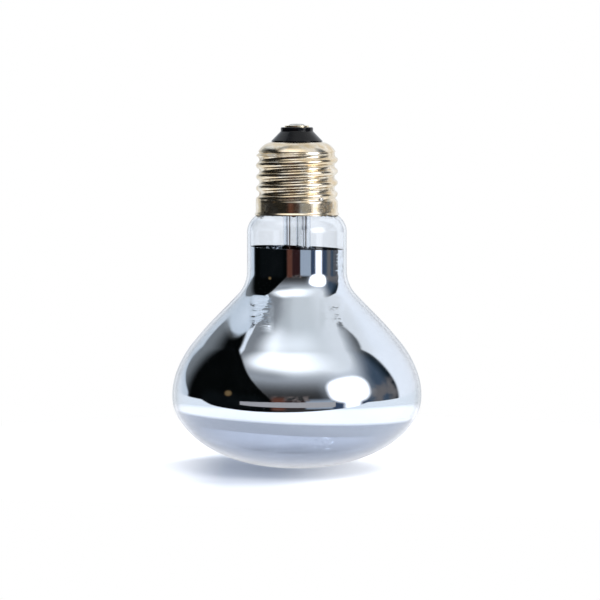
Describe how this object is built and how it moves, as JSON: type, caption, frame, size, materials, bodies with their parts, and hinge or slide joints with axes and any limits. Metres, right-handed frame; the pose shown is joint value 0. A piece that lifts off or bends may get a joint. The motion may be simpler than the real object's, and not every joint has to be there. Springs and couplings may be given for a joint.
{
  "type": "reflector lamp bulb",
  "caption": "Mirrored reflector lamp bulb with a pale blue glass face, clear neck window, glass stem and a standard screw cap, standing on its rounded face.",
  "frame": {"origin": "the lowest point of the rounded face, on the bulb's axis", "axes": "+Z along the bulb's axis towards the screw cap; -Y is the side that the picture shows"},
  "size_m": [0.08, 0.08, 0.1101],
  "materials": {
    "cap_metal": "nickel plated, bright satin",
    "cap_glass": "opaque black glass, glossy",
    "contact_brass": "bright stamped",
    "solder": "dull bright, melted",
    "cement": "dark, grainy",
    "bulb_glass": "clear, very pale blue",
    "mirror_film": "vacuum deposited mirror",
    "stem_glass": "clear",
    "lead_wire": "drawn wire, tarnished",
    "seal_wire": "copper-clad wire",
    "inner_wire": "nickel wire",
    "support_wire": "drawn wire",
    "filament_wire": "coiled wire, dark grey"
  },
  "bodies": {
    "root": {"cap_shell": "cap_metal", "cap_insulator": "cap_glass", "contact_plate": "contact_brass", "contact_solder": "solder", "side_solder": "solder", "basing_cement": "cement", "glass_envelope": "bulb_glass", "reflector_coating": "mirror_film", "stem_tube": "stem_glass", "exhaust_tube": "stem_glass", "arbor_rod": "stem_glass", "centre_outer_lead": "lead_wire", "side_outer_lead": "lead_wire", "seal_wire_left": "seal_wire", "seal_wire_right": "seal_wire", "inner_lead_left": "inner_wire", "inner_lead_right": "inner_wire", "support_wire_1": "support_wire", "support_wire_2": "support_wire", "support_wire_3": "support_wire", "filament": "filament_wire"}
  },
  "joints": []
}
